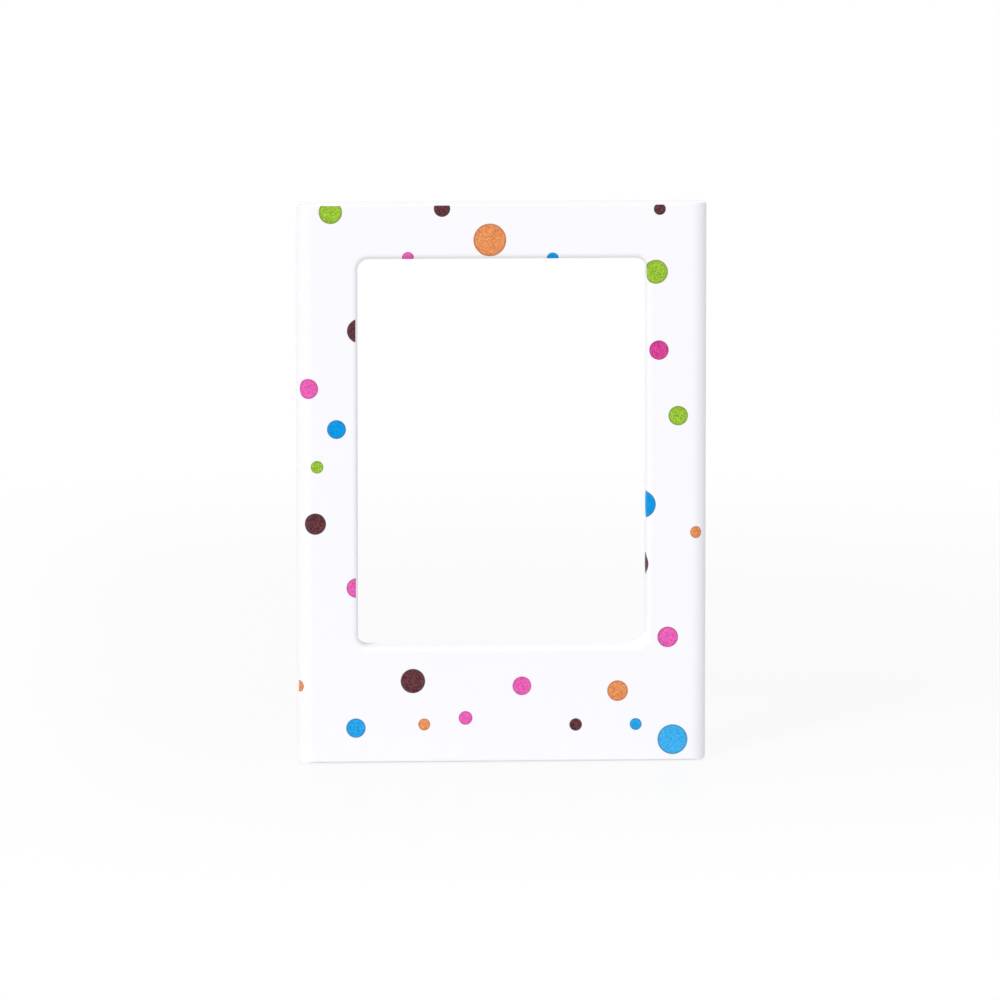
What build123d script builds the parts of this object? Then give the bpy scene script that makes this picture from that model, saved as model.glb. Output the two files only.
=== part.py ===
"""Magnetic frame for one instant print: two moulded halves that eight disc magnets hold together.

Millimetres, +Z up, +X to the right as seen from the front, -Y towards the viewer.
The frame stands on Z = 0 and its depth is centred on Y = 0.
"""

import os

from build123d import *

# The print: the picture and the white borders round it
PICTURE_WIDTH = 46.0
PICTURE_HEIGHT = 62.0
PRINT_SIDE_BORDER = 4.0
PRINT_TOP_BORDER = 7.1
PRINT_BOTTOM_BORDER = 16.9
PRINT_CLEARANCE = 0.35
POCKET_DEPTH = 0.6

# Disc magnets, glued into their bores
MAGNET_DIAMETER = 6.0
MAGNET_THICKNESS = 2.0
MAGNET_CHAMFER = 0.2
MAGNET_GLUE_GAP = 0.05
MAGNET_SINK = 0.05
MAGNET_LAND = 1.75

# Walls of the halves
FRONT_WALL = 1.5
REAR_SKIN = 0.8
OUTER_WALL = 1.3
RAIL_WIDTH = 5.25
RAIL_INNER_WALL = 0.9
WINDOW_WALL = 1.2
SEAT_WALL = 0.9

# Ribs that carry the print
RIB_THICKNESS = 1.0
RIB_COLUMNS = 5
RIB_ROWS = 9

# Outline and edges
WINDOW_RADIUS = 1.8
WINDOW_EDGE_RADIUS = 0.9
WINDOW_STEP = 0.1
GRIP_RADIUS = 2.4
EDGE_RADIUS = 0.3
FOOT_RADIUS = 0.9
PARTING_RADIUS = 0.12
REAR_EDGE_RADIUS = 0.7

# Pegs of the rear half and their sockets in the front half
PEG_DIAMETER = 1.8
PEG_LENGTH = 1.4
PEG_CHAMFER = 0.3
PEG_CLEARANCE = 0.1
PEG_END_GAP = 0.3
PEG_SPACING = 44.0
PEG_BOSS_LENGTH = 5.0

# Nail notch under the rear half, at the parting plane
NOTCH_WIDTH = 12.0
NOTCH_DEPTH = 1.0
NOTCH_HEIGHT = 0.9

# Sizes that follow from those above
POCKET_WIDTH = PICTURE_WIDTH + 2 * (PRINT_SIDE_BORDER + PRINT_CLEARANCE)
POCKET_HEIGHT = PICTURE_HEIGHT + PRINT_TOP_BORDER + PRINT_BOTTOM_BORDER + 2 * PRINT_CLEARANCE
FRAME_WIDTH = POCKET_WIDTH + 2 * RAIL_WIDTH
FRAME_HEIGHT = POCKET_HEIGHT + 2 * OUTER_WALL
BORE_DEPTH = MAGNET_THICKNESS + MAGNET_SINK
BORE_RADIUS = MAGNET_DIAMETER / 2 + MAGNET_GLUE_GAP
FRONT_DEPTH = FRONT_WALL + BORE_DEPTH + POCKET_DEPTH
REAR_DEPTH = REAR_SKIN + BORE_DEPTH
FRAME_DEPTH = FRONT_DEPTH + REAR_DEPTH

FRONT_Y = -FRAME_DEPTH / 2
REAR_Y = FRAME_DEPTH / 2
PARTING_Y = FRONT_Y + FRONT_DEPTH
SHELF_Y = PARTING_Y - POCKET_DEPTH
WALL_Y = FRONT_Y + FRONT_WALL

MIDDLE_Z = FRAME_HEIGHT / 2
WINDOW_LOW_Z = OUTER_WALL + PRINT_CLEARANCE + PRINT_BOTTOM_BORDER
WINDOW_Z = WINDOW_LOW_Z + PICTURE_HEIGHT / 2

MAGNET_INSET = MAGNET_LAND + BORE_RADIUS
SEAT_SIZE = MAGNET_INSET + BORE_RADIUS + SEAT_WALL
MAGNET_X = FRAME_WIDTH / 2 - MAGNET_INSET
MAGNET_PLACES = {
    "upper_left": (-MAGNET_X, FRAME_HEIGHT - MAGNET_INSET),
    "upper_right": (MAGNET_X, FRAME_HEIGHT - MAGNET_INSET),
    "lower_left": (-MAGNET_X, MAGNET_INSET),
    "lower_right": (MAGNET_X, MAGNET_INSET),
}

RAIL_GAP = RAIL_WIDTH - OUTER_WALL - RAIL_INNER_WALL
RAIL_X = FRAME_WIDTH / 2 - OUTER_WALL - RAIL_GAP / 2
PEG_PLACES = [
    (side * RAIL_X, MIDDLE_Z + end * PEG_SPACING / 2)
    for side in (-1, 1)
    for end in (-1, 1)
]


def upright(x, y, z):
    """A plane that faces the viewer, with its own Y up and its normal towards -Y."""
    return Plane(origin=(x, y, z), x_dir=(1, 0, 0), z_dir=(0, -1, 0))


def block(width, height, x, z, front, rear):
    """A box centred on x and z that runs in depth from front to rear."""
    return extrude(upright(x, rear, z) * Rectangle(width, height), amount=rear - front)


def disc(radius, x, z, front, rear):
    """A cylinder along Y, centred on x and z, that runs in depth from front to rear."""
    return extrude(upright(x, rear, z) * Circle(radius), amount=rear - front)


def opening(margin, front, rear):
    """The window's prism, larger all round by a margin."""
    outline = RectangleRounded(
        PICTURE_WIDTH + 2 * margin,
        PICTURE_HEIGHT + 2 * margin,
        WINDOW_RADIUS + margin,
    )
    return extrude(upright(0, rear, WINDOW_Z) * outline, amount=rear - front)


def rounded(width, height, low_radius, high_radius):
    """A rectangle on the origin with its lower and its upper corners rounded."""
    outline = Rectangle(width, height)
    outline = fillet(outline.vertices().group_by(Axis.Y)[0], low_radius)
    return fillet(outline.vertices().group_by(Axis.Y)[-1], high_radius)


def half(front, rear, side_radii, end_radii):
    """The outer form of a half, as the common part of its front, plan and side outlines.

    Each pair of radii is for the front and then the rear edges: side_radii for the upright
    ones, end_radii for those along the top and the bottom.
    """
    depth = rear - front
    middle = (front + rear) / 2
    face = rounded(FRAME_WIDTH, FRAME_HEIGHT, FOOT_RADIUS, EDGE_RADIUS)
    plan = rounded(FRAME_WIDTH, depth, *side_radii)
    side = rounded(FRAME_HEIGHT, depth, *end_radii)
    side_plane = Plane(
        origin=(FRAME_WIDTH / 2, middle, MIDDLE_Z), x_dir=(0, 0, 1), z_dir=(-1, 0, 0)
    )
    body = extrude(upright(0, rear, MIDDLE_Z) * face, amount=depth)
    body &= extrude(Pos(0, middle, 0) * plan, amount=FRAME_HEIGHT)
    body &= extrude(side_plane * side, amount=FRAME_WIDTH)
    return body


def core():
    """The hollow between the front wall and the shelf that the print lies on."""
    hollow = block(POCKET_WIDTH, POCKET_HEIGHT, 0, MIDDLE_Z, WALL_Y, SHELF_Y)
    hollow -= opening(WINDOW_WALL, WALL_Y, SHELF_Y)
    for x in (-1, 1):
        for z in (0, FRAME_HEIGHT):
            hollow -= block(2 * SEAT_SIZE, 2 * SEAT_SIZE, x * FRAME_WIDTH / 2, z, WALL_Y, SHELF_Y)
    column_pitch = POCKET_WIDTH / (RIB_COLUMNS + 1)
    for column in range(1, RIB_COLUMNS + 1):
        x = column * column_pitch - POCKET_WIDTH / 2
        hollow -= block(RIB_THICKNESS, FRAME_HEIGHT, x, MIDDLE_Z, WALL_Y, SHELF_Y)
    row_pitch = FRAME_HEIGHT / (RIB_ROWS + 1)
    for row in range(1, RIB_ROWS + 1):
        hollow -= block(FRAME_WIDTH, RIB_THICKNESS, 0, row * row_pitch, WALL_Y, SHELF_Y)
    return hollow


def rail_core(side):
    """The hollow along one upright rail, without the bosses that the pegs enter."""
    length = FRAME_HEIGHT - 2 * SEAT_SIZE
    hollow = block(RAIL_GAP, length, side * RAIL_X, MIDDLE_Z, WALL_Y, PARTING_Y)
    for x, z in PEG_PLACES:
        hollow -= block(RAIL_GAP, PEG_BOSS_LENGTH, x, z, WALL_Y, PARTING_Y)
    return hollow


def front_frame():
    """The front half: face, window, shelf for the print, magnet bores and peg sockets."""
    body = half(FRONT_Y, PARTING_Y, (GRIP_RADIUS, PARTING_RADIUS), (EDGE_RADIUS, PARTING_RADIUS))
    body -= opening(0, FRONT_Y, PARTING_Y)
    window_edges = body.faces().sort_by(Axis.Y)[0].inner_wires()[0].edges()
    body = fillet(window_edges, WINDOW_EDGE_RADIUS)
    body -= block(POCKET_WIDTH, POCKET_HEIGHT, 0, MIDDLE_Z, SHELF_Y, PARTING_Y)
    body -= core()
    body -= rail_core(-1)
    body -= rail_core(1)
    for x, z in MAGNET_PLACES.values():
        body -= disc(BORE_RADIUS, x, z, WALL_Y, PARTING_Y)
    for x, z in PEG_PLACES:
        socket_end = PARTING_Y - PEG_LENGTH - PEG_END_GAP
        body -= disc(PEG_DIAMETER / 2 + PEG_CLEARANCE, x, z, socket_end, PARTING_Y)
    return body


def rear_frame():
    """The rear half: a plate with the window, pegs, open magnet bores and a nail notch."""
    body = half(
        PARTING_Y,
        REAR_Y,
        (PARTING_RADIUS, REAR_EDGE_RADIUS),
        (PARTING_RADIUS, REAR_EDGE_RADIUS),
    )
    body -= opening(WINDOW_STEP, PARTING_Y, REAR_Y)
    window_edges = body.faces().sort_by(Axis.Y)[-1].inner_wires()[0].edges()
    body = fillet(window_edges, REAR_EDGE_RADIUS)
    for x, z in MAGNET_PLACES.values():
        body -= disc(BORE_RADIUS, x, z, REAR_Y - BORE_DEPTH, REAR_Y)
    body -= block(NOTCH_WIDTH, 2 * NOTCH_HEIGHT, 0, 0, PARTING_Y, PARTING_Y + NOTCH_DEPTH)
    for x, z in PEG_PLACES:
        peg = disc(PEG_DIAMETER / 2, x, z, PARTING_Y - PEG_LENGTH, PARTING_Y + REAR_SKIN)
        tip = peg.edges().sort_by(Axis.Y)[0]
        body += chamfer(tip, PEG_CHAMFER)
    return body


def magnet(x, z, front):
    """A disc magnet with its front pole face at the given depth."""
    body = disc(MAGNET_DIAMETER / 2, x, z, front, front + MAGNET_THICKNESS)
    return chamfer(body.edges().filter_by(GeomType.CIRCLE), MAGNET_CHAMFER)


def main():
    """Builds each piece and writes it to its own file."""
    pieces = {"front_frame": front_frame(), "rear_frame": rear_frame()}
    for place, (x, z) in MAGNET_PLACES.items():
        pieces["front_magnet_" + place] = magnet(x, z, WALL_Y)
        pieces["rear_magnet_" + place] = magnet(x, z, REAR_Y - BORE_DEPTH)
    os.makedirs("parts", exist_ok=True)
    for name, shape in pieces.items():
        export_step(shape, "parts/" + name + ".step")


if __name__ == "__main__":
    main()
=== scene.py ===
"""Looks of a magnetic photo frame: two white moulded halves, disc magnets and a confetti print.

Everything is in metres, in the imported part's frame: X to the right, Y away from the viewer, Z up.
"""

import logging
import math
from dataclasses import dataclass, field
from enum import Enum

import bmesh
import bpy
from mathutils import Matrix, Vector

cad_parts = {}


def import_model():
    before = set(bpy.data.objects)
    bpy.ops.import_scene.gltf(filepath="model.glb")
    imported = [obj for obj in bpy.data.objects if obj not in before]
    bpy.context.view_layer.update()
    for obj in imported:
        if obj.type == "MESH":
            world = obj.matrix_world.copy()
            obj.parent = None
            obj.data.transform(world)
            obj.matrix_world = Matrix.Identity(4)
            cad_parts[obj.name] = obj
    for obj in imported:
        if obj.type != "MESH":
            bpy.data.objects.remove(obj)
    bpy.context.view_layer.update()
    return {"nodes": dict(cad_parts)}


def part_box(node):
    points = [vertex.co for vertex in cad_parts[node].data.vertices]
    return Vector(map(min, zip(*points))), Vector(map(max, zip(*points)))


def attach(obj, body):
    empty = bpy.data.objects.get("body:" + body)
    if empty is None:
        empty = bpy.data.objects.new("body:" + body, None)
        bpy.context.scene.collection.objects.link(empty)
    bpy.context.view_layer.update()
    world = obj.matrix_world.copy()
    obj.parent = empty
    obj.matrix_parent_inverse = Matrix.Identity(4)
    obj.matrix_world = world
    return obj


LOG = logging.getLogger("photo_frame")
MM = 0.001
CUT_TOLERANCE = 1e-8
RIM = "rim"

Srgb = tuple[float, float, float]
Colour = tuple[float, float, float, float]
Setting = str | float | bool
WHITE: Colour = (1.0, 1.0, 1.0, 1.0)

# Places of a Mix node's sockets for colours.
MIX_SHARE = 0
MIX_FIRST = 6
MIX_SECOND = 7
MIX_RESULT = 2


def linear(srgb: Srgb) -> Colour:
    """Turns an sRGB colour into the linear one that a shader takes, by the standard's curve.

    Args:
        srgb: Red, green and blue from 0 to 255.

    Returns:
        Linear red, green, blue and an alpha of 1.
    """
    shares = [channel / 255 for channel in srgb]
    red, green, blue = (s / 12.92 if s <= 0.04045 else ((s + 0.055) / 1.055) ** 2.4 for s in shares)
    return red, green, blue, 1.0


def toward(colour: Colour, other: Colour, share: float) -> Colour:
    """Mixes two fixed colours.

    Args:
        colour: The colour at a share of 0.
        other: The colour at a share of 1.
        share: How far to go from the first to the second.

    Returns:
        The mixed colour.
    """
    red, green, blue, alpha = (a + (b - a) * share for a, b in zip(colour, other))
    return red, green, blue, alpha


def scaled(colour: Colour, strength: float) -> Colour:
    """Makes a fixed colour darker or lighter.

    Args:
        colour: The colour.
        strength: Its new strength, 1 for no change.

    Returns:
        The colour with each channel scaled, up to full.
    """
    red, green, blue = (min(channel * strength, 1.0) for channel in colour[:3])
    return red, green, blue, 1.0


class Wire:
    """An output socket of a node tree, with arithmetic that adds Math nodes to that tree."""

    def __init__(self, graph: "Graph", socket: bpy.types.NodeSocket) -> None:
        """Keeps the socket and the graph that it belongs to."""
        self.graph = graph
        self.socket = socket

    def math(self, operation: str, first: "Wire | float", second: "Wire | float") -> "Wire":
        """Adds one Math node for an operation on two values."""
        return self.graph.wire("ShaderNodeMath", {"operation": operation}, {0: first, 1: second})

    def __add__(self, other: "Wire | float") -> "Wire":
        """Adds a value to this one."""
        return self.math("ADD", self, other)

    def __radd__(self, other: float) -> "Wire":
        """Adds this value to a number."""
        return self.math("ADD", other, self)

    def __sub__(self, other: "Wire | float") -> "Wire":
        """Takes a value from this one."""
        return self.math("SUBTRACT", self, other)

    def __rsub__(self, other: float) -> "Wire":
        """Takes this value from a number."""
        return self.math("SUBTRACT", other, self)

    def __mul__(self, other: "Wire | float") -> "Wire":
        """Multiplies this value by another."""
        return self.math("MULTIPLY", self, other)

    def __rmul__(self, other: float) -> "Wire":
        """Multiplies a number by this value."""
        return self.math("MULTIPLY", other, self)

    def at_most(self, other: "Wire | float") -> "Wire":
        """Takes the lower of this value and another."""
        return self.math("MINIMUM", self, other)

    def at_least(self, other: "Wire | float") -> "Wire":
        """Takes the higher of this value and another."""
        return self.math("MAXIMUM", self, other)


class Graph:
    """The node tree of one material or of the world, filled from empty."""

    def __init__(self, owner: bpy.types.Material | bpy.types.World) -> None:
        """Empties the owner's node tree and keeps it.

        Args:
            owner: The material or the world.
        """
        owner.use_nodes = True
        self.tree = owner.node_tree
        self.tree.nodes.clear()

    def node(
        self,
        kind: str,
        settings: dict[str, Setting] | None = None,
        sockets: dict[str | int, object] | None = None,
    ) -> bpy.types.Node:
        """Adds one node.

        Args:
            kind: The node's type.
            settings: The node's own settings, which are set before its sockets.
            sockets: A value or a Wire for each input, by name or place.

        Returns:
            The new node.
        """
        made = self.tree.nodes.new(kind)
        for name, setting in (settings or {}).items():
            setattr(made, name, setting)
        for key, given in (sockets or {}).items():
            if isinstance(given, Wire):
                self.tree.links.new(given.socket, made.inputs[key])
            else:
                made.inputs[key].default_value = given
        return made

    def wire(
        self,
        kind: str,
        settings: dict[str, Setting] | None = None,
        sockets: dict[str | int, object] | None = None,
        output: str | int = 0,
    ) -> Wire:
        """Adds one node and gives one of its outputs.

        Args:
            kind: The node's type.
            settings: The node's own settings.
            sockets: A value or a Wire for each input.
            output: Name or place of the output.

        Returns:
            The output as a Wire.
        """
        return Wire(self, self.node(kind, settings, sockets).outputs[output])

    def place(self) -> Wire:
        """Gives the place on the piece in its own metres."""
        return self.wire("ShaderNodeTexCoord", output="Object")

    def noise(self, size: float, detail: float = 2.0, roughness: float = 0.5) -> Wire:
        """Gives cloudy noise from 0 to 1.

        Args:
            size: Width of one cloud (m).
            detail: How many finer layers are added.
            roughness: How strong the finer layers are.

        Returns:
            The noise as a Wire.
        """
        sockets = {
            "Vector": self.place(),
            "Scale": 1 / size,
            "Detail": detail,
            "Roughness": roughness,
        }
        return self.wire("ShaderNodeTexNoise", {"noise_dimensions": "3D"}, sockets, "Fac")

    def specks(self, size: float) -> Wire:
        """Gives small cells, each with one level from 0 to 1.

        Args:
            size: Width of one cell (m).

        Returns:
            The level as a Wire.
        """
        sockets = {"Vector": self.place(), "Scale": 1 / size}
        cells = self.wire("ShaderNodeTexVoronoi", None, sockets, "Color")
        return self.wire("ShaderNodeSeparateColor", None, {"Color": cells}, "Red")

    def mix(self, share: Wire, first: object, second: object) -> Wire:
        """Mixes two colours by a value.

        Args:
            share: 0 for the first colour and 1 for the second.
            first: A colour or a Wire.
            second: A colour or a Wire.

        Returns:
            The mixed colour as a Wire.
        """
        sockets = {MIX_SHARE: share, MIX_FIRST: first, MIX_SECOND: second}
        return self.wire("ShaderNodeMix", {"data_type": "RGBA"}, sockets, MIX_RESULT)

    def bump(self, height: Wire, depth: float, strength: float) -> Wire:
        """Gives a normal that follows a height.

        Args:
            height: The height from 0 to 1.
            depth: How tall a height of 1 is (m).
            strength: How much of the bump shows.

        Returns:
            The normal as a Wire.
        """
        sockets = {"Strength": strength, "Distance": depth, "Height": height}
        return self.wire("ShaderNodeBump", None, sockets)

    def close(self, kind: str, shader: Wire) -> None:
        """Joins the finished shader to an output node of this kind."""
        self.node(kind, None, {"Surface": shader})


@dataclass(frozen=True)
class PlasticFinish:
    """White moulded plastic with a fine matt tool texture.

    Attributes:
        name: Name of the material.
        colour: sRGB colour of the bare plastic.
        cloud: sRGB colour that the plastic drifts towards in wide faint clouds.
        cloud_size: Width of those clouds (m).
        grain_size: Width of one grain of the tool texture (m).
        grain_depth: Height of one grain (m).
        grain_bump: How much of that height shows.
        grain_roughness: How strong the finer layers of the grain are.
        layers: How many finer layers the clouds and the grain have.
        gloss: Roughness between and on the grains.
        ior: Index of refraction.
        shine: Level of the plain reflection.
    """

    name: str
    colour: Srgb
    cloud: Srgb
    cloud_size: float = 24 * MM
    grain_size: float = 0.16 * MM
    grain_depth: float = 0.006 * MM
    grain_bump: float = 0.35
    grain_roughness: float = 0.6
    layers: float = 3.0
    gloss: tuple[float, float] = (0.42, 0.54)
    ior: float = 1.46
    shine: float = 0.35

    def material(self) -> bpy.types.Material:
        """Makes the material.

        Returns:
            The new material.
        """
        made = bpy.data.materials.new(self.name)
        graph = Graph(made)
        cloud = graph.noise(self.cloud_size, self.layers)
        grain = graph.noise(self.grain_size, self.layers, self.grain_roughness)
        smooth, rough = self.gloss
        shader = graph.wire(
            "ShaderNodeBsdfPrincipled",
            None,
            {
                "Base Color": graph.mix(cloud, linear(self.colour), linear(self.cloud)),
                "Roughness": smooth + (rough - smooth) * grain,
                "IOR": self.ior,
                "Specular IOR Level": self.shine,
                "Normal": graph.bump(grain, self.grain_depth, self.grain_bump),
            },
        )
        graph.close("ShaderNodeOutputMaterial", shader)
        return made


@dataclass(frozen=True)
class NickelFinish:
    """Nickel plating with faint cloudy stains and fine tumbling marks.

    Attributes:
        name: Name of the material.
        colour: sRGB colour of the clean plating.
        stain: sRGB colour of the darker stains.
        stain_size: Width of a stain (m).
        stain_roughness: How strong the finer layers of the stains are.
        mark_size: Width of a tumbling mark (m).
        mark_roughness: How strong the finer layers of the marks are.
        mark_depth: Depth of a tumbling mark (m).
        mark_bump: How much of that depth shows.
        layers: How many finer layers the stains and the marks have.
        gloss: Roughness of the clean plating, and how much stains and marks add to it.
    """

    name: str
    colour: Srgb = (201, 201, 206)
    stain: Srgb = (140, 136, 135)
    stain_size: float = 2.2 * MM
    stain_roughness: float = 0.6
    mark_size: float = 0.12 * MM
    mark_roughness: float = 0.7
    mark_depth: float = 0.003 * MM
    mark_bump: float = 0.4
    layers: float = 4.0
    gloss: tuple[float, float, float] = (0.16, 0.12, 0.08)

    def material(self) -> bpy.types.Material:
        """Makes the material.

        Returns:
            The new material.
        """
        made = bpy.data.materials.new(self.name)
        graph = Graph(made)
        stain = graph.noise(self.stain_size, self.layers, self.stain_roughness)
        marks = graph.noise(self.mark_size, self.layers, self.mark_roughness)
        clean, stained, marked = self.gloss
        shader = graph.wire(
            "ShaderNodeBsdfPrincipled",
            None,
            {
                "Base Color": graph.mix(stain * marks, linear(self.colour), linear(self.stain)),
                "Metallic": 1.0,
                "Roughness": clean + stained * stain + marked * marks,
                "Normal": graph.bump(marks, self.mark_depth, self.mark_bump),
            },
        )
        graph.close("ShaderNodeOutputMaterial", shader)
        return made


@dataclass(frozen=True)
class Tone:
    """What sets one ink apart from the others.

    Attributes:
        srgb: sRGB colour.
        gap: Share of bare white in the lightest speck.
        contrast: How much the specks of its screen differ from the colour, both ways.
    """

    srgb: Srgb
    gap: float = 0.04
    contrast: float = 0.45

    @property
    def colour(self) -> Colour:
        """Gives the linear colour."""
        return linear(self.srgb)


class Ink(Enum):
    """Inks of the confetti print."""

    LIME = Tone((150, 194, 40))
    PLUM = Tone((90, 36, 45), contrast=0.6)
    ORANGE = Tone((250, 142, 81), gap=0.05, contrast=0.4)
    PINK = Tone((253, 86, 179), gap=0.06, contrast=0.4)
    MAGENTA = Tone((216, 50, 147), gap=0.05, contrast=0.4)
    BLUE = Tone((0, 152, 231), gap=0.0, contrast=0.3)
    AZURE = Tone((0, 160, 236), contrast=0.3)
    SKY = Tone((49, 172, 236), contrast=0.22)


@dataclass(frozen=True)
class InkFinish:
    """Matt printing ink laid as a fine screen of specks, uneven in density, with a thin darker rim.

    Attributes:
        ink: The ink.
        speck_size: Width of one speck of the screen (m).
        speck_depth: Height of one speck (m).
        speck_bump: How much of that height shows.
        patch_size: Width of a patch of heavier ink (m).
        patch_change: How far a patch may go towards the heaviest speck.
        rim: How far the rim goes towards its darker tone.
        rim_strength: Strength of the ink's colour in that tone.
        rim_grey: Share of warm grey in that tone.
        grey: The warm grey, as a linear colour.
        gloss: Roughness of the heaviest and of the lightest speck.
        ior: Index of refraction.
        shine: Level of the plain reflection.
    """

    ink: Ink
    speck_size: float = 0.14 * MM
    speck_depth: float = 0.003 * MM
    speck_bump: float = 0.25
    patch_size: float = 1.3 * MM
    patch_change: float = 0.12
    rim: float = 0.85
    rim_strength: float = 0.55
    rim_grey: float = 0.3
    grey: Colour = (0.2, 0.18, 0.17, 1.0)
    gloss: tuple[float, float] = (0.52, 0.64)
    ior: float = 1.46
    shine: float = 0.12

    def material(self) -> bpy.types.Material:
        """Makes the material, which reads the dots' own rim attribute.

        Returns:
            The new material.
        """
        made = bpy.data.materials.new("ink_" + self.ink.name.lower())
        graph = Graph(made)
        tone = self.ink.value
        deep = scaled(tone.colour, 1 - tone.contrast)
        pale = toward(scaled(tone.colour, 1 + tone.contrast), WHITE, tone.gap)
        dull = toward(scaled(tone.colour, self.rim_strength), self.grey, self.rim_grey)
        speck = graph.specks(self.speck_size)
        patch = graph.noise(self.patch_size)
        edge = graph.wire("ShaderNodeAttribute", {"attribute_name": RIM}, None, "Fac")
        inked = graph.mix(patch * self.patch_change, graph.mix(speck, deep, pale), deep)
        heavy, light = self.gloss
        shader = graph.wire(
            "ShaderNodeBsdfPrincipled",
            None,
            {
                "Base Color": graph.mix(edge * self.rim, inked, dull),
                "Roughness": heavy + (light - heavy) * speck,
                "IOR": self.ior,
                "Specular IOR Level": self.shine,
                "Normal": graph.bump(speck, self.speck_depth, self.speck_bump),
            },
        )
        graph.close("ShaderNodeOutputMaterial", shader)
        return made


@dataclass(frozen=True)
class Dot:
    """One printed dot on the front face, in millimetres.

    Attributes:
        across: Place of its middle to the right of the frame's middle.
        up: Height of its middle above the table.
        diameter: Its diameter.
    """

    across: float
    up: float
    diameter: float


class Axis(Enum):
    """Axes that the edges of the front face round off along."""

    ACROSS = (1.0, 0.0, 0.0)
    UP = (0.0, 0.0, 1.0)


@dataclass(frozen=True)
class RoundedEdge:
    """A straight rounded edge of the front face that a dot may run onto.

    Attributes:
        axis: Axis that the edge rounds off along.
        start: Place on that axis where the flat face ends (m).
        side: 1.0 where it rounds off towards higher values, or -1.0.
        radius: Radius of the rounding (m).
        cover: How far the print goes past the flat face, measured round the edge (m).
        reach: Lowest and highest place of the edge along the other axis (m).
    """

    axis: Axis
    start: float
    side: float
    radius: float
    cover: float
    reach: tuple[float, float]

    def meets(self, across: float, up: float, radius: float) -> bool:
        """Tells whether a dot touches this edge.

        Args:
            across: X of the dot's middle (m).
            up: Z of the dot's middle (m).
            radius: Radius of the dot (m).

        Returns:
            True where part of the dot lies past the flat face.
        """
        here, along = (across, up) if self.axis is Axis.ACROSS else (up, across)
        low, high = self.reach
        past = self.side * (here - self.start)
        return low < along < high and -radius < past < self.cover + radius

    def score(self, dot: bmesh.types.BMesh, steps: int) -> None:
        """Cuts a flat dot along the lines where it will bend and trims it where the print ends.

        Args:
            dot: The flat dot, in place.
            steps: How many strips the whole rounding takes.
        """
        strip = self.radius * math.pi / 2 / steps
        bends = [strip * step for step in range(steps + 1) if strip * step < self.cover]
        for past in bends + [self.cover]:
            level = self.start + self.side * past
            slice_level(dot, self.axis, level, self.side, past == self.cover)


def slice_level(
    shape: bmesh.types.BMesh, axis: Axis, level: float, side: float, trim: bool
) -> None:
    """Cuts a shape at one level of an axis.

    Args:
        shape: The shape to cut.
        axis: Axis that the cut is square to.
        level: Place of the cut on that axis (m).
        side: 1.0 or -1.0 for the side that is trimmed off.
        trim: Whether that side is removed.
    """
    normal = Vector(axis.value)
    bmesh.ops.bisect_plane(
        shape,
        geom=shape.verts[:] + shape.edges[:] + shape.faces[:],
        dist=CUT_TOLERANCE,
        plane_co=normal * level,
        plane_no=normal * side,
        clear_outer=trim,
    )


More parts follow.
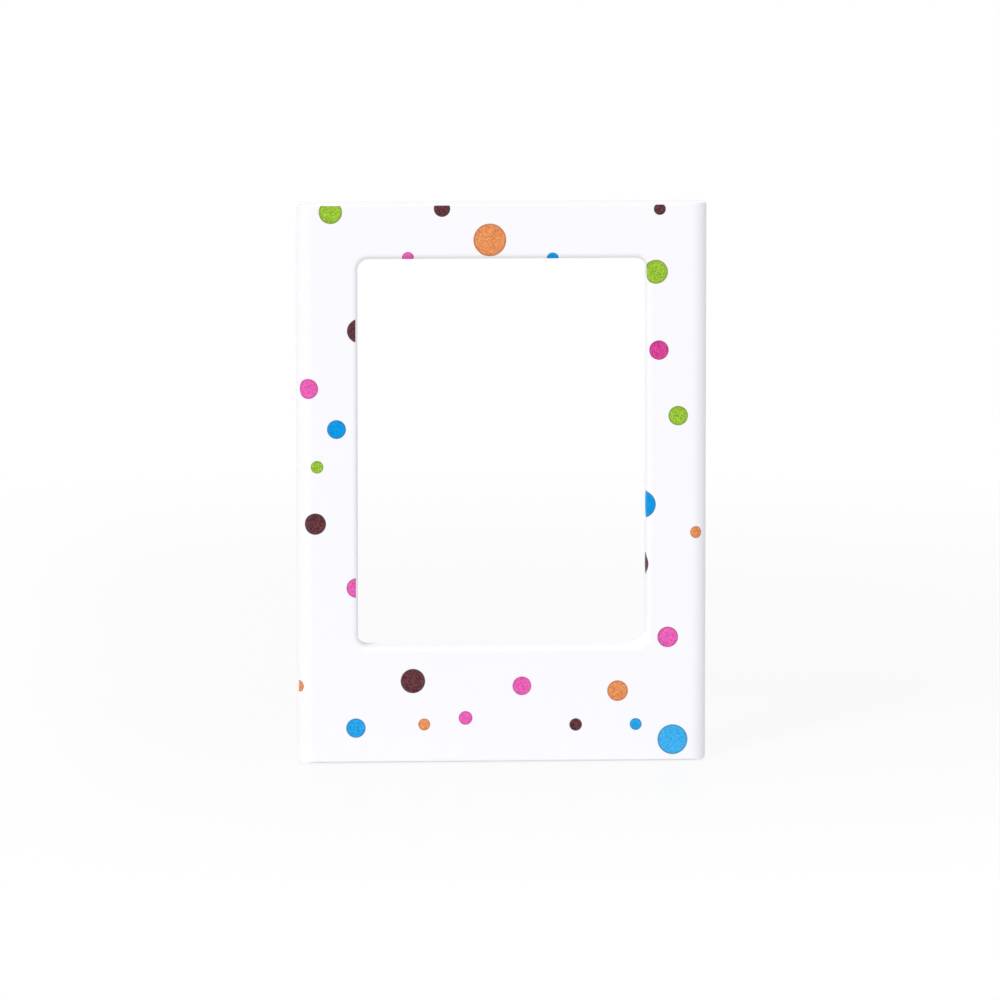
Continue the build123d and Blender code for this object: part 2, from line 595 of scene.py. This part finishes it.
@dataclass(frozen=True)
class FrontFace:
    """The front half's face: flat, with rounded upright edges, a broken top edge and a window.

    Attributes:
        width: Width of the frame (m).
        height: Height of the frame (m).
        front: Y of the flat face (m).
        window_half: Half of the window's width (m).
        window_low: Height of the window's sill (m).
        window_high: Height of the window's top (m).
        corner: Radius of the window's corners (m).
        window_edge: Radius of the window's front edge (m).
        grip: Radius of the two upright edges (m).
        top_break: Radius of the top edge (m).
        grip_cover: How far the print goes round the upright edges (m).
        top_cover: How far it goes round the top edge (m).
        left_cover: How far it goes round the window's left edge (m).
        wall_cover: How far it goes round the window's right and top edges, walls included (m).
    """

    width: float
    height: float
    front: float
    window_half: float = 23.0 * MM
    window_low: float = 18.55 * MM
    window_high: float = 80.55 * MM
    corner: float = 1.8 * MM
    window_edge: float = 0.9 * MM
    grip: float = 2.4 * MM
    top_break: float = 0.3 * MM
    grip_cover: float = 2.8 * MM
    top_cover: float = 0.1 * MM
    left_cover: float = 0.57 * MM
    wall_cover: float = 4.4 * MM

    @property
    def window_middle(self) -> float:
        """Gives the height of the window's middle."""
        return (self.window_low + self.window_high) / 2

    def edges(self) -> list[RoundedEdge]:
        """Gives the edges that the print runs onto, with how far it covers each.

        Returns:
            The two upright edges, the top edge and the window's left, right and top edges.
        """
        grip = self.width / 2 - self.grip
        side = self.window_half + self.window_edge
        top, lintel = self.height - self.top_break, self.window_high + self.window_edge
        whole, wide = (0.0, self.height), (-self.width / 2, self.width / 2)
        upright = (self.window_low, self.window_high)
        level = (-self.window_half, self.window_half)
        return [
            RoundedEdge(Axis.ACROSS, -grip, -1.0, self.grip, self.grip_cover, whole),
            RoundedEdge(Axis.ACROSS, grip, 1.0, self.grip, self.grip_cover, whole),
            RoundedEdge(Axis.UP, top, 1.0, self.top_break, self.top_cover, wide),
            RoundedEdge(Axis.ACROSS, -side, 1.0, self.window_edge, self.left_cover, upright),
            RoundedEdge(Axis.ACROSS, side, -1.0, self.window_edge, self.wall_cover, upright),
            RoundedEdge(Axis.UP, lintel, -1.0, self.window_edge, self.wall_cover, level),
        ]

    def from_middle(self, across: float, up: float) -> tuple[float, float]:
        """Measures a point of the flat print from the middles of the window's corners.

        Args:
            across: X of the point (m).
            up: Z of the point (m).

        Returns:
            How far outside those middles the point is in X and in Z (m), less than 0 between them.
        """
        half = (self.window_high - self.window_low) / 2
        aside = abs(across) - (self.window_half - self.corner)
        above = abs(up - self.window_middle) - (half - self.corner)
        return aside, above

    def near_corner(self, across: float, up: float, radius: float) -> bool:
        """Tells whether a dot may run onto a corner of the window.

        Args:
            across: X of the dot's middle (m).
            up: Z of the dot's middle (m).
            radius: Radius of the dot (m).

        Returns:
            True where the dot comes near the corner.
        """
        aside, above = self.from_middle(across, up)
        reach = radius + self.corner + self.window_edge
        return -radius < aside < reach and -radius < above < reach

    def rounding(self, across: float, up: float) -> tuple[float, Vector, float]:
        """Finds how far a point of the flat print goes past the flat face.

        Args:
            across: X of the point (m).
            up: Z of the point (m).

        Returns:
            How far the point is past the flat face, or 0 on it (m), the way that the edge rounds
            off to in X and Z, and the edge's radius (m).
        """
        past_grip = abs(across) - (self.width / 2 - self.grip)
        if past_grip > 0:
            return past_grip, Vector((math.copysign(1.0, across), 0.0)), self.grip
        past_top = up - (self.height - self.top_break)
        if past_top > 0:
            return past_top, Vector((0.0, 1.0)), self.top_break
        aside, above = self.from_middle(across, up)
        if min(aside, above) > 0:
            away, distance = Vector((aside, above)).normalized(), math.hypot(aside, above)
        elif aside > above:
            away, distance = Vector((1.0, 0.0)), aside
        else:
            away, distance = Vector((0.0, 1.0)), above
        over = up - self.window_middle
        way = Vector((-math.copysign(away.x, across), -math.copysign(away.y, over)))
        return max(self.corner + self.window_edge - distance, 0.0), way, self.window_edge

    def lay(self, across: float, up: float, lift: float) -> Vector:
        """Lays a point of the flat print onto the face, round its edge and down the wall behind.

        Args:
            across: X of the point (m).
            up: Z of the point (m).
            lift: How far the point stands proud of the plastic (m).

        Returns:
            The point on the face.
        """
        past, way, radius = self.rounding(across, up)
        lean = min(past / radius, math.pi / 2)
        shift = way * ((radius + lift) * math.sin(lean) - past)
        depth = radius - (radius + lift) * math.cos(lean) + (past - radius * lean)
        return Vector((across + shift.x, self.front + depth, up + shift.y))


def confetti() -> dict[Ink, tuple[Dot, ...]]:
    """Gives the print's layout: a loose scatter of dots in three rough sizes.

    Returns:
        The dots of each ink.
    """
    return {
        Ink.LIME: (
            Dot(-27.3, 88.1, 3.7),
            Dot(24.4, 78.4, 3.8),
            Dot(28.0, 55.4, 3.1),
            Dot(-29.5, 47.5, 2.0),
        ),
        Ink.PLUM: (
            Dot(-9.6, 88.6, 2.6),
            Dot(25.0, 88.4, 1.9),
            Dot(-22.8, 69.2, 3.8),
            Dot(-29.8, 38.4, 3.4),
            Dot(21.5, 31.6, 3.5),
            Dot(-14.3, 13.1, 3.9),
            Dot(11.7, 5.9, 2.0),
        ),
        Ink.ORANGE: (
            Dot(-2.0, 83.6, 5.2),
            Dot(30.9, 36.7, 1.9),
            Dot(18.4, 11.3, 3.3),
            Dot(-12.5, 6.1, 1.9),
            Dot(-32.7, 12.3, 1.8),
        ),
        Ink.PINK: (
            Dot(-15.0, 80.8, 1.9),
            Dot(-30.9, 60.0, 3.2),
            Dot(-23.3, 28.1, 3.1),
            Dot(26.4, 19.9, 3.3),
            Dot(3.1, 12.2, 3.0),
            Dot(-5.9, 7.1, 2.2),
        ),
        Ink.MAGENTA: (Dot(24.9, 65.9, 3.1),),
        Ink.BLUE: (
            Dot(8.0, 80.6, 1.9),
            Dot(-26.4, 53.5, 3.0),
            Dot(22.3, 41.2, 4.3),
        ),
        Ink.AZURE: (
            Dot(21.3, 5.9, 1.9),
            Dot(-23.4, 5.6, 3.1),
        ),
        Ink.SKY: (Dot(27.2, 3.4, 4.8),),
    }


@dataclass
class ConfettiPrint:
    """The print on the front half: thin pads of ink that follow the face and its rounded edges.

    Attributes:
        face: The face that carries the print.
        thickness: How far the ink stands proud (m).
        root: How far the ink goes into the plastic (m).
        rim_width: Width of the darker rim on a large dot (m).
        rim_share: Most of a dot's radius that its rim takes.
        segments: Corners of a dot's outline.
        bend_steps: Strips in which a dot bends round a quarter turn.
        corner_step: Width of the strips in which a dot bends round a corner of the window (m).
        layout: The dots of each ink.
    """

    face: FrontFace
    thickness: float = 0.02 * MM
    root: float = 0.03 * MM
    rim_width: float = 0.36 * MM
    rim_share: float = 0.2
    segments: int = 64
    bend_steps: int = 8
    corner_step: float = 0.2 * MM
    layout: dict[Ink, tuple[Dot, ...]] = field(default_factory=confetti)

    def disc(self, dot: Dot) -> bmesh.types.BMesh:
        """Makes one dot as a flat disc with a rim, in place and facing the front.

        Args:
            dot: The dot's place and size.

        Returns:
            The disc, with the rim attribute on its points.
        """
        radius = dot.diameter * MM / 2
        width = min(self.rim_width, radius * self.rim_share)
        shape = bmesh.new()
        rim = shape.verts.layers.float.new(RIM)
        bmesh.ops.create_circle(shape, cap_ends=True, segments=self.segments, radius=radius)
        bmesh.ops.inset_region(
            shape, faces=shape.faces[:], thickness=width, use_boundary=True, use_even_offset=True
        )
        for vert in shape.verts:
            vert[rim] = 1.0 if vert.co.length > radius - width / 2 else 0.0
        bmesh.ops.rotate(shape, verts=shape.verts[:], matrix=Matrix.Rotation(math.pi / 2, 3, "X"))
        bmesh.ops.translate(shape, verts=shape.verts[:], vec=(dot.across * MM, 0, dot.up * MM))
        return shape

    def pad(self, dot: Dot) -> bpy.types.Mesh:
        """Builds one dot as a thin closed pad on the front face.

        Args:
            dot: The dot's place and size.

        Returns:
            The pad's mesh.
        """
        across, up, radius = dot.across * MM, dot.up * MM, dot.diameter * MM / 2
        shape = self.disc(dot)
        met = [edge for edge in self.face.edges() if edge.meets(across, up, radius)]
        for edge in met:
            edge.score(shape, self.bend_steps)
        if met and self.face.near_corner(across, up, radius):
            for strip in range(math.ceil(2 * radius / self.corner_step)):
                level = up - radius + strip * self.corner_step
                slice_level(shape, Axis.UP, level, 1.0, False)
        for vert in shape.verts:
            vert.co = self.face.lay(vert.co.x, vert.co.z, self.thickness)
        shape.normal_update()
        bmesh.ops.solidify(shape, geom=shape.faces[:], thickness=self.thickness + self.root)
        mesh = bpy.data.meshes.new("pad")
        shape.to_mesh(mesh)
        shape.free()
        return mesh

    def build(self) -> None:
        """Builds and dresses the dots of each ink as one piece that rides on the front half."""
        for ink, dots in self.layout.items():
            whole = bmesh.new()
            for dot in dots:
                pad = self.pad(dot)
                whole.from_mesh(pad)
                bpy.data.meshes.remove(pad)
            mesh = bpy.data.meshes.new("dots_" + ink.name.lower())
            whole.to_mesh(mesh)
            whole.free()
            mesh.materials.append(InkFinish(ink).material())
            piece = bpy.data.objects.new(mesh.name, mesh)
            bpy.context.scene.collection.objects.link(piece)
            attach(piece, "front")
            LOG.info("%s: %d dots, %d faces", piece.name, len(dots), len(mesh.polygons))


@dataclass
class MouldedHalves:
    """The two white halves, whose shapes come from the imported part.

    Attributes:
        nodes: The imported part's nodes by name.
        finishes: The finish of each half.
    """

    nodes: dict[str, bpy.types.Object]
    finishes: dict[str, PlasticFinish] = field(
        default_factory=lambda: {
            "front_frame": PlasticFinish("white_front", (249, 248, 251), (247, 246, 250)),
            "rear_frame": PlasticFinish(
                "white_rear", (248, 247, 250), (246, 245, 249), gloss=(0.5, 0.62)
            ),
        }
    )

    def dress(self) -> None:
        """Gives each half its finish."""
        for name, finish in self.finishes.items():
            self.nodes[name].data.materials.clear()
            self.nodes[name].data.materials.append(finish.material())
            LOG.info("%s: %s", name, finish.name)


@dataclass
class MagnetSet:
    """The eight disc magnets, four in each half.

    Attributes:
        nodes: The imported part's nodes by name.
        finish: The magnets' plating.
    """

    nodes: dict[str, bpy.types.Object]
    finish: NickelFinish = NickelFinish("nickel_plating")

    def dress(self) -> None:
        """Gives every magnet the plating."""
        plating = self.finish.material()
        for name in sorted(self.nodes):
            if "magnet" in name:
                self.nodes[name].data.materials.clear()
                self.nodes[name].data.materials.append(plating)
                LOG.info("%s: %s", name, plating.name)


@dataclass
class Studio:
    """White table-top studio: a pale floor, even sky light, a key lamp, a rear lamp and a camera.

    Attributes:
        floor_radius: Radius of the floor (m).
        floor_drop: How far the floor lies under the part (m).
        floor_segments: Corners of the floor's outline.
        floor_colour: sRGB colour of the floor.
        floor_gloss: Roughness of the floor.
        floor_ior: Index of refraction of the floor's surface.
        painted_shade_middle: How far behind the part the middle of the floor's painted shade is
            (m).
        floor_haze: Share of plain light in the floor as the camera sees it there.
        floor_painted_shade: How far below plain white that light is there: a painted shade round
            the part, which fades out as the floor fades to white.
        haze_start: Distance from the painted shade's middle where the floor starts to fade to white
            (m).
        haze_length: Distance over which it fades (m).
        sky: Strength of the even light.
        key: Strength of the key lamp, a soft box that leaves no highlight of its own.
        key_azimuth: How far left of the front the key lamp stands (degrees).
        key_elevation: Height of the key lamp over the horizon (degrees).
        key_spread: Apparent size of the key lamp (degrees).
        rear: Strength of the rear lamp.
        rear_azimuth: How far left of the front the rear lamp stands (degrees).
        rear_elevation: Height of the rear lamp over the horizon (degrees).
        rear_spread: Apparent size of the rear lamp (degrees).
        azimuth: How far right of the front the camera stands (degrees).
        elevation: Height of the camera over the horizon (degrees).
        distance: Distance from the camera to the point that it looks at (m).
        aim: The point that the camera looks at (m).
        sensor: Width of the camera's sensor (mm).
        lens: Focal length of the camera (mm).
    """

    floor_radius: float = 4.0
    floor_drop: float = 0.16 * MM
    floor_segments: int = 96
    floor_colour: Srgb = (238, 238, 240)
    floor_gloss: float = 0.22
    floor_ior: float = 1.4
    painted_shade_middle: float = 0.14
    floor_haze: float = 0.85
    floor_painted_shade: float = 0.03
    haze_start: float = 0.1
    haze_length: float = 0.17
    sky: float = 0.62
    key: float = 1.54
    key_azimuth: float = 28.0
    key_elevation: float = 41.0
    key_spread: float = 16.0
    rear: float = 0.7
    rear_azimuth: float = 150.0
    rear_elevation: float = 10.0
    rear_spread: float = 60.0
    azimuth: float = -3.2
    elevation: float = 6.8
    distance: float = 1.4
    aim: tuple[float, float, float] = (-0.0002, 0.0, 0.04165)
    sensor: float = 36.0
    lens: float = 316.0

    def seen(self, graph: Graph) -> Wire:
        """Gives 1 for rays that show the background and 0 for rays that only carry light.

        Args:
            graph: The node tree to add to.

        Returns:
            The value as a Wire.
        """
        path = graph.node("ShaderNodeLightPath")
        camera, glossy, through = (
            Wire(graph, path.outputs[name])
            for name in ("Is Camera Ray", "Is Glossy Ray", "Is Transmission Ray")
        )
        return camera.at_least(glossy).at_least(through)

    def floor_material(self) -> bpy.types.Material:
        """Makes the floor's material, which shows the part's shadow and a painted shade near the
        part, and plain white far away.

        Returns:
            The new material.
        """
        made = bpy.data.materials.new("white_floor")
        graph = Graph(made)
        place = graph.place()
        far = graph.wire("ShaderNodeVectorMath", {"operation": "LENGTH"}, {0: place}, "Value")
        fade = ((far - self.haze_start) * (1 / self.haze_length)).at_least(0.0).at_most(1.0)
        haze = self.floor_haze + (1 - self.floor_haze) * fade
        lit = graph.wire(
            "ShaderNodeBsdfPrincipled",
            None,
            {
                "Base Color": linear(self.floor_colour),
                "Roughness": self.floor_gloss,
                "IOR": self.floor_ior,
            },
        )
        # Painted shade: the plain light that the camera sees is dimmed near the middle behind the
        # part and turns full white further out.
        glow_with_painted_shade = graph.mix(fade, scaled(WHITE, 1 - self.floor_painted_shade), WHITE)
        plain = graph.wire("ShaderNodeEmission", None, {"Color": glow_with_painted_shade, "Strength": 1.0})
        shown = haze * self.seen(graph)
        shader = graph.wire("ShaderNodeMixShader", None, {0: shown, 1: lit, 2: plain})
        graph.close("ShaderNodeOutputMaterial", shader)
        return made

    def floor(self) -> None:
        """Builds the floor, which carries the part's shadow."""
        shape = bmesh.new()
        bmesh.ops.create_circle(
            shape, cap_ends=True, segments=self.floor_segments, radius=self.floor_radius
        )
        bmesh.ops.translate(shape, verts=shape.verts[:], vec=(0, 0, -self.floor_drop))
        mesh = bpy.data.meshes.new("floor")
        shape.to_mesh(mesh)
        shape.free()
        mesh.materials.append(self.floor_material())
        made = bpy.data.objects.new("floor", mesh)
        # The floor is centred on the middle of its painted shade.
        made.location.y = self.painted_shade_middle
        bpy.context.scene.collection.objects.link(made)

    def sky_light(self) -> None:
        """Sets the even sky light, which the camera and reflections see as plain white."""
        world = bpy.data.worlds.new("studio_sky")
        graph = Graph(world)
        strength = self.sky + (1 - self.sky) * self.seen(graph)
        shader = graph.wire("ShaderNodeBackground", None, {"Color": WHITE, "Strength": strength})
        graph.close("ShaderNodeOutputWorld", shader)
        bpy.context.scene.world = world

    def lamp(
        self, name: str, strength: float, azimuth: float, elevation: float, spread: float
    ) -> bpy.types.Object:
        """Adds one soft lamp far away.

        Args:
            name: Name of the lamp.
            strength: Its strength.
            azimuth: How far left of the front it stands (degrees).
            elevation: Its height over the horizon (degrees).
            spread: Its apparent size (degrees).

        Returns:
            The lamp.
        """
        light = bpy.data.lights.new(name, "SUN")
        light.energy = strength
        light.angle = math.radians(spread)
        made = bpy.data.objects.new(name, light)
        made.rotation_mode = "QUATERNION"
        made.rotation_quaternion = self.facing(-azimuth, elevation).to_track_quat("Z", "Y")
        bpy.context.scene.collection.objects.link(made)
        return made

    def facing(self, azimuth: float, elevation: float) -> Vector:
        """Gives the direction from the part to a place round it.

        Args:
            azimuth: How far right of the front the place is (degrees).
            elevation: Its height over the horizon (degrees).

        Returns:
            The direction, one metre long.
        """
        turn, rise = math.radians(azimuth), math.radians(elevation)
        level = math.cos(rise)
        return Vector((math.sin(turn) * level, -math.cos(turn) * level, math.sin(rise)))

    def camera(self) -> None:
        """Places the camera where the picture was taken from."""
        back = self.facing(self.azimuth, self.elevation)
        data = bpy.data.cameras.new("camera")
        data.sensor_width = self.sensor
        data.lens = self.lens
        made = bpy.data.objects.new("camera", data)
        made.location = Vector(self.aim) + back * self.distance
        made.rotation_mode = "QUATERNION"
        made.rotation_quaternion = back.to_track_quat("Z", "Y")
        bpy.context.scene.collection.objects.link(made)
        bpy.context.scene.camera = made

    def build(self) -> None:
        """Sets up the whole studio."""
        bpy.context.scene.view_settings.view_transform = "Standard"
        self.floor()
        self.sky_light()
        key = self.lamp("key", self.key, self.key_azimuth, self.key_elevation, self.key_spread)
        key.visible_glossy = False
        self.lamp("rear", self.rear, self.rear_azimuth, self.rear_elevation, self.rear_spread)
        self.camera()
        LOG.info("studio: floor, sky, two lamps and a camera")


def main() -> None:
    """Builds the dressed part and its studio."""
    logging.basicConfig(level=logging.INFO, format="%(message)s")
    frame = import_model()
    nodes = frame["nodes"]
    MouldedHalves(nodes).dress()
    MagnetSet(nodes).dress()
    low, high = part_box("front_frame")
    ConfettiPrint(FrontFace(high.x - low.x, high.z - low.z, low.y)).build()
    Studio().build()


if __name__ == "__main__":
    main()
